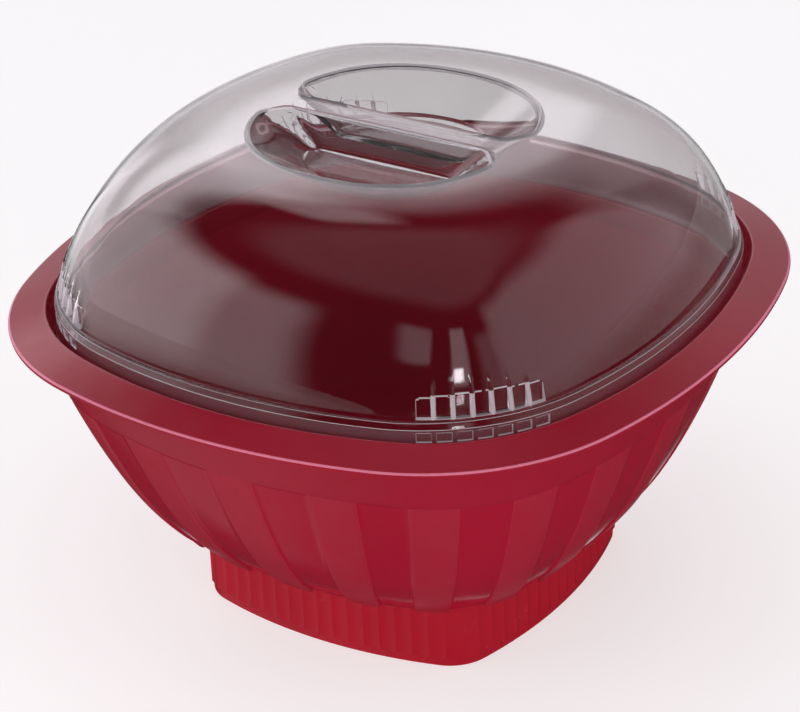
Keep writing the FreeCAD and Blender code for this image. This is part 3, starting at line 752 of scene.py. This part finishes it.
def crown_half(edge_ring, spread, level, half_turn):
    """The crown's half on the -Y side, or turned to +Y: flat rim, rounded edge, sloping walls and floor.

    It returns points, faces and how many faces a row has.
    """
    count = len(edge_ring)
    arc = np.array([edge_ring[(count // 2 + i) % count][:2] for i in range(count // 2 + 1)])
    across = np.linspace(arc[-1][0], arc[0][0], 72)[1:-1]
    boundary = np.vstack([arc, np.column_stack([across, np.zeros(len(across))])])
    middle = np.array([0, POCKET_MIDDLE])
    away = boundary - middle
    to_boundary = np.linalg.norm(away, axis=1)
    towards = away / to_boundary[:, None]
    total = len(boundary)
    floor_level = CROWN - POCKET_DEPTH - spread
    depth = level - floor_level

    def outline(share, grow=0.0):
        """The pocket's outline at a share of its depth."""
        return pocket_reach(towards, mixed(POCKET_RIM, POCKET_FLOOR, share), spread + grow)

    rows = [np.column_stack([boundary, np.full(total, level)])]

    def add(length, height):
        rows.append(np.column_stack([middle + towards * length[:, None], np.full(total, height)]))

    rim = outline(0)
    rim_edge = np.minimum(rim + 0.5, to_boundary - 0.05)
    add((to_boundary + rim_edge) / 2, level)
    wall_from = RIM_ROUND / depth
    wall_start = outline(wall_from)
    for t in np.linspace(0, 1, 7):
        add(curve(rim_edge, rim, wall_start, t), level - depth * wall_from * t * t)
    for share in (0.25, 0.4, 0.55, 0.7, 0.85):
        add(outline(share), level - depth * share)
    wall_to = 1 - FLOOR_ROUND / depth
    wall_end, corner, floor_edge = outline(wall_to), outline(1), outline(1, -FLOOR_EDGE)
    for t in np.linspace(0, 1, 6):
        height = level - depth * (wall_to + (1 - wall_to) * (1 - (1 - t) ** 2))
        add(curve(wall_end, corner, floor_edge, t), height)
    for share in (0.8, 0.55, 0.3):
        add(floor_edge * share, floor_level)
    points = np.vstack(rows + [np.array([[0, POCKET_MIDDLE, floor_level]])])
    if half_turn:
        points[:, :2] *= -1
    last, centre = (len(rows) - 1) * total, len(rows) * total
    faces = grid_faces(len(rows), total) + [(last + i, last + (i + 1) % total, centre) for i in range(total)]
    return points, faces, total


make_bowl()
make_skirt()
make_lid()


# ------------------------------------------------------------ stage, light and camera, in metres

AZIMUTH, ELEVATION, ROLL = math.radians(33.434), math.radians(28.489), math.radians(-2.751)
BACK = Vector((math.sin(AZIMUTH) * math.cos(ELEVATION), -math.cos(AZIMUTH) * math.cos(ELEVATION),
               math.sin(ELEVATION)))
RIGHT = Vector((math.cos(AZIMUTH), math.sin(AZIMUTH), 0))
UP = BACK.cross(RIGHT)
DISTANCE, AIM = 1.2825, Vector((0, 0, 0.080))
SENSOR, LENS, SHIFT = 36, 152.96, (-0.00825, 0.0258)

FLOOR_REACH = 6.0
FLOOR_GLOW = 0.54       # keeps the pale floor pale under a soft light

# Softboxes as the object sees them: azimuth from and to (0 is towards the camera, 90 to its right), elevation
# from and to, softness of the edges, all in degrees, and brightness.
SOFTBOXES = [
    (-128, -76, -8, 40, 14, 2.0),       # large box on the left
    (-78, -50, -8, 38, 12, 1.15),       # its front part
    (42, 124, -4, 50, 14, 0.85),        # large box on the right
    (128, 190, -4, 22, 16, 0.55),       # pale wall behind on the right: its lower part
    (128, 188, 22, 42, 16, 0.80),       # its upper part
    (168, 188, 20, 33, 8, 0.9),         # and its brighter end
    (186, 232, 24, 42, 10, 1.95),       # bright upper wall behind on the left
    (186, 232, -8, 24, 10, 0.45),       # the dimmer wall below it
    (-162, -128, -12, 12, 8, 1.0),      # strip light there
    (-176, -164, 44, 53, 6, 0.9),       # small soft lamp high above it
    (-26, -13, 24, 42, 5, 0.70),        # window behind the camera, in two parts
    (4, 17, 8, 43, 4, 1.05),
    (6, 12, 11, 19, 2, 12),             # small lamp in front of its second part
    (26, 44, -4, 36, 8, 0.40),          # dim box between it and the large one on the right
    (-130, -48, -64, -8, 16, 0.22),     # the table's paleness on the left, as far as gloss shows it
    (168, 192, -64, -8, 12, 1.0),       # the same behind
]
ZENITH_LOW, ZENITH_HIGH, ZENITH_LIGHT = 52, 64, 0.25    # soft light from above: elevations of its edge
AMBIENT = 0.03
WORLD_TINT = (1.0, 0.935, 0.985)

LEVEL_BACK = Vector((BACK.x, BACK.y, 0)).normalized()
LAMP_AIM = Vector((0, 0, 0.1))
LAMPS = [                               # name, place, side of the square, and power in watts
    ("top_box", Vector((0, 0, 1.9)), 1.6, 5),
    ("front_left_box", LEVEL_BACK * 1.3 - RIGHT * 0.7 + Vector((0, 0, 0.55)), 0.8, 5.5),
    ("front_right_box", LEVEL_BACK * 1.3 + RIGHT * 0.8 + Vector((0, 0, 0.45)), 0.8, 4.5),
]


def make_camera():
    """The main view, from the front and a little to the right, above the rim."""
    data = bpy.data.cameras.new("camera")
    data.sensor_width = SENSOR
    data.lens = LENS
    data.shift_x, data.shift_y = SHIFT
    camera = bpy.data.objects.new("camera", data)
    side = RIGHT * math.cos(ROLL) + UP * math.sin(ROLL)
    top = UP * math.cos(ROLL) - RIGHT * math.sin(ROLL)
    turned = Matrix((side, top, BACK)).transposed().to_4x4()
    turned.translation = BACK * DISTANCE + AIM
    camera.matrix_world = turned
    bpy.context.collection.objects.link(camera)
    bpy.context.scene.camera = camera


def make_floor():
    """A pale table top, which gloss doesn't show."""
    mesh = bpy.data.meshes.new("floor")
    corners = [(x * FLOOR_REACH, y * FLOOR_REACH, 0) for x, y in ((-1, -1), (1, -1), (1, 1), (-1, 1))]
    mesh.from_pydata(corners, [], [(0, 1, 2, 3)])
    floor = bpy.data.objects.new("floor", mesh)
    bpy.context.collection.objects.link(floor)
    made, tree, shader = material("floor_paint")
    paint = colours(tree, noise(tree, 3), (0.56, 0.565, 0.565), (0.58, 0.585, 0.585))
    tree.links.new(paint, shader.inputs["Base Color"])
    shader.inputs["Roughness"].default_value = 0.9
    shader.inputs["Specular IOR Level"].default_value = 0.1
    shader.inputs["Emission Color"].default_value = (1, 1, 1, 1)
    shader.inputs["Emission Strength"].default_value = FLOOR_GLOW
    mesh.materials.append(made)
    floor.visible_glossy = False


def node_math(tree, operation, *values):
    """One sum of the world's nodes, from numbers and other nodes' outputs."""
    node = tree.nodes.new("ShaderNodeMath")
    node.operation = operation
    for socket, value in zip(node.inputs, values):
        if isinstance(value, (int, float)):
            socket.default_value = value
        else:
            tree.links.new(value, socket)
    return node.outputs[0]


def node_step(tree, value, edge, soft):
    """Smoothly 0 to 1 as a value passes an edge; the edge and its softness are in degrees."""
    node = tree.nodes.new("ShaderNodeMapRange")
    node.interpolation_type = "SMOOTHSTEP"
    node.inputs["From Min"].default_value = math.radians(edge - soft / 2)
    node.inputs["From Max"].default_value = math.radians(edge + soft / 2)
    tree.links.new(value, node.inputs["Value"])
    return node.outputs["Result"]


def make_world():
    """A dim studio with softboxes all round, so that gloss and clear plastic have something to show."""
    world = bpy.data.worlds.new("studio")
    world.use_nodes = True
    tree = world.node_tree
    place = tree.nodes.new("ShaderNodeTexCoord")
    turned = tree.nodes.new("ShaderNodeVectorRotate")
    turned.rotation_type = "Z_AXIS"
    turned.inputs["Angle"].default_value = -AZIMUTH
    tree.links.new(place.outputs["Generated"], turned.inputs["Vector"])
    parts = tree.nodes.new("ShaderNodeSeparateXYZ")
    tree.links.new(turned.outputs["Vector"], parts.inputs["Vector"])
    x, y, z = (parts.outputs[axis] for axis in "XYZ")
    azimuth = node_math(tree, "ARCTAN2", x, node_math(tree, "MULTIPLY", y, -1.0))
    elevation = node_math(tree, "ARCSINE", z)
    zenith = node_step(tree, elevation, (ZENITH_LOW + ZENITH_HIGH) / 2, ZENITH_HIGH - ZENITH_LOW)
    total = node_math(tree, "MULTIPLY_ADD", zenith, ZENITH_LIGHT, AMBIENT)
    for left, right, low, high, soft, light in SOFTBOXES:
        middle, width = math.radians((left + right) / 2), (right - left) / 2
        away = node_math(tree, "SUBTRACT", azimuth, middle)
        away = node_math(tree, "ABSOLUTE", node_math(tree, "WRAP", away, math.pi, -math.pi))
        across = node_math(tree, "SUBTRACT", 1.0, node_step(tree, away, width, soft))
        above = node_step(tree, elevation, low, soft)
        below = node_math(tree, "SUBTRACT", 1.0, node_step(tree, elevation, high, soft))
        box = node_math(tree, "MULTIPLY", across, node_math(tree, "MULTIPLY", above, below))
        total = node_math(tree, "MULTIPLY_ADD", box, light, total)
    background = tree.nodes["Background"]
    background.inputs["Color"].default_value = (*WORLD_TINT, 1)
    tree.links.new(total, background.inputs["Strength"])
    bpy.context.scene.world = world


def make_lights():
    """Soft square lamps that gloss and the clear lid don't show."""
    for name, place, size, power in LAMPS:
        data = bpy.data.lights.new(name, "AREA")
        data.shape = "RECTANGLE"
        data.size = data.size_y = size
        data.energy = power
        lamp = bpy.data.objects.new(name, data)
        lamp.location = place
        lamp.rotation_euler = (LAMP_AIM - place).to_track_quat("-Z", "Y").to_euler()
        lamp.visible_glossy = False
        lamp.visible_transmission = False
        bpy.context.collection.objects.link(lamp)


make_camera()
make_floor()
make_world()
make_lights()
bpy.context.scene.view_settings.view_transform = "Standard"
